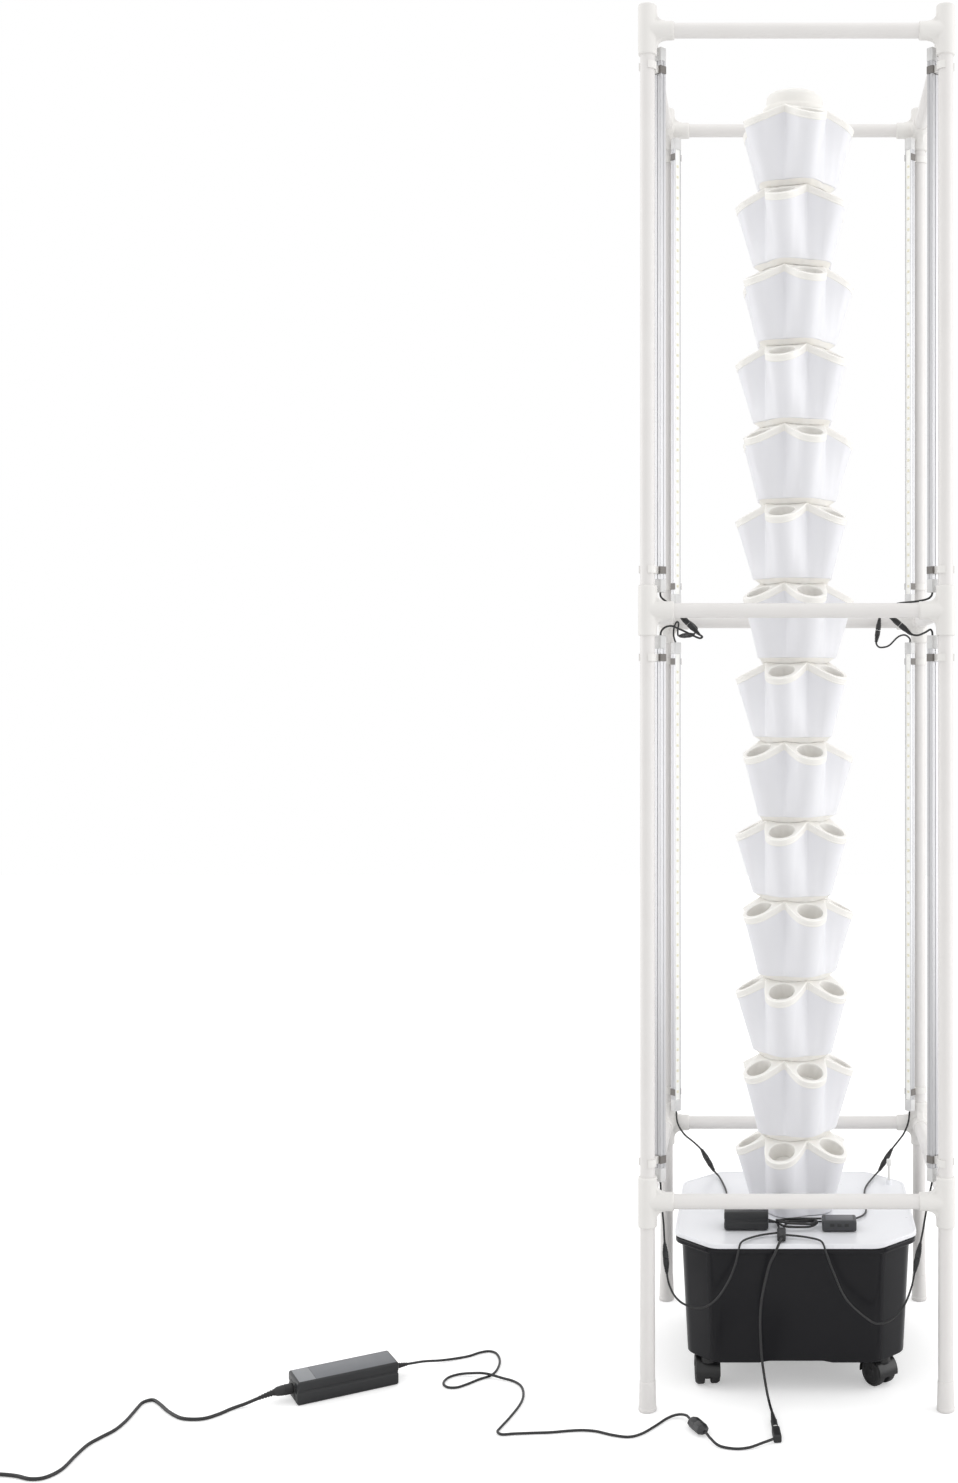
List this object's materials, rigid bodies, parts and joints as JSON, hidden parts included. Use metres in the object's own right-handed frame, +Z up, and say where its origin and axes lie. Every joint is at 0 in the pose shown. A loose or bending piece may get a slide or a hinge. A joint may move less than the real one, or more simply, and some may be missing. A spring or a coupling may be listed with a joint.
{
  "type": "vertical hydroponic tower",
  "caption": "Stacked hydroponic planter tower on a wheeled water tank, inside a pipe frame with upright lamp bars, with adapters and loose power cords.",
  "frame": {"origin": "on the floor, at the middle of the four legs", "axes": "+Z up; -Y is the front, which faces the picture's camera; +X is the picture's right"},
  "size_m": [1.2931, 0.6121, 1.885],
  "materials": {
    "frame_white": "satin",
    "planter_white": "satin",
    "pipe_white": "satin",
    "lid_white": "satin",
    "lamp_aluminium": "satin",
    "tank_black": "gloss",
    "caster_black": "satin",
    "wheel_black": "satin",
    "float_white": "satin",
    "pump_black": "satin",
    "adapter_black": "satin",
    "timer_grey": "satin",
    "cord_black": "satin",
    "plug_black": "satin"
  },
  "bodies": {
    "stand": {"frame_post_front_left": "frame_white", "lamp_bar_upper_front_left": "lamp_aluminium", "lamp_bar_lower_front_left": "lamp_aluminium", "frame_post_front_right": "frame_white", "lamp_bar_upper_front_right": "lamp_aluminium", "lamp_bar_lower_front_right": "lamp_aluminium", "frame_post_back_left": "frame_white", "lamp_bar_upper_back_left": "lamp_aluminium", "lamp_bar_lower_back_left": "lamp_aluminium", "frame_post_back_right": "frame_white", "lamp_bar_upper_back_right": "lamp_aluminium", "lamp_bar_lower_back_right": "lamp_aluminium", "frame_rail_lower_front": "frame_white", "frame_rail_lower_back": "frame_white", "frame_rail_lower_left": "frame_white", "frame_rail_lower_right": "frame_white", "frame_rail_middle_front": "frame_white", "frame_rail_middle_back": "frame_white", "frame_rail_middle_left": "frame_white", "frame_rail_middle_right": "frame_white", "frame_rail_upper_front": "frame_white", "frame_rail_upper_back": "frame_white", "frame_rail_upper_left": "frame_white", "frame_rail_upper_right": "frame_white", "planter_module_01": "planter_white", "planter_module_02": "planter_white", "planter_module_03": "planter_white", "planter_module_04": "planter_white", "planter_module_05": "planter_white", "planter_module_06": "planter_white", "planter_module_07": "planter_white", "planter_module_08": "planter_white", "planter_module_09": "planter_white", "planter_module_10": "planter_white", "planter_module_11": "planter_white", "planter_module_12": "planter_white", "planter_module_13": "planter_white", "planter_module_14": "planter_white", "riser_pipe": "pipe_white", "water_tank": "tank_black", "tank_lid": "lid_white", "pump": "pump_black", "floor_adapter": "adapter_black", "pump_adapter": "adapter_black", "pump_timer": "timer_grey", "mains_cord": "cord_black", "mains_coil": "cord_black", "mains_plug": "plug_black", "adapter_dc_cord": "cord_black", "splitter_harness": "cord_black"},
    "cap": {"top_cap": "planter_white"},
    "float": {"level_float": "float_white"},
    "caster_front_left": {"caster_housing_front_left": "caster_black"},
    "wheels_front_left": {"caster_wheels_front_left": "wheel_black"},
    "caster_front_right": {"caster_housing_front_right": "caster_black"},
    "wheels_front_right": {"caster_wheels_front_right": "wheel_black"},
    "caster_back_left": {"caster_housing_back_left": "caster_black"},
    "wheels_back_left": {"caster_wheels_back_left": "wheel_black"},
    "caster_back_right": {"caster_housing_back_right": "caster_black"},
    "wheels_back_right": {"caster_wheels_back_right": "wheel_black"}
  },
  "joints": [
    {"name": "cap_lift_off", "type": "slide", "parent": "stand", "child": "cap", "axis": [0, 0, 1], "range_m": [0, 0.05]},
    {"name": "float_travel", "type": "slide", "parent": "stand", "child": "float", "axis": [0, 0, 1], "range_m": [-0.02, 0.062]},
    {"name": "swivel_front_left", "type": "hinge", "parent": "stand", "child": "caster_front_left", "pos_m": [-0.122, -0.122, 0.03], "axis": [0, 0, 1], "continuous": true},
    {"name": "roll_front_left", "type": "hinge", "parent": "caster_front_left", "child": "wheels_front_left", "pos_m": [-0.12325, -0.11208, 0.019], "axis": [0.9921, 0.1253, 0], "continuous": true},
    {"name": "swivel_front_right", "type": "hinge", "parent": "stand", "child": "caster_front_right", "pos_m": [0.122, -0.122, 0.03], "axis": [0, 0, 1], "continuous": true},
    {"name": "roll_front_right", "type": "hinge", "parent": "caster_front_right", "child": "wheels_front_right", "pos_m": [0.11563, -0.11429, 0.019], "axis": [0.7705, 0.6374, 0], "continuous": true},
    {"name": "swivel_back_left", "type": "hinge", "parent": "stand", "child": "caster_back_left", "pos_m": [-0.122, 0.122, 0.03], "axis": [0, 0, 1], "continuous": true},
    {"name": "roll_back_left", "type": "hinge", "parent": "caster_back_left", "child": "wheels_back_left", "pos_m": [-0.13151, 0.11891, 0.019], "axis": [-0.309, 0.9511, 0], "continuous": true},
    {"name": "swivel_back_right", "type": "hinge", "parent": "stand", "child": "caster_back_right", "pos_m": [0.122, 0.122, 0.03], "axis": [0, 0, 1], "continuous": true},
    {"name": "roll_back_right", "type": "hinge", "parent": "caster_back_right", "child": "wheels_back_right", "pos_m": [0.13076, 0.12682, 0.019], "axis": [0.4818, -0.8763, 0], "continuous": true}
  ]
}
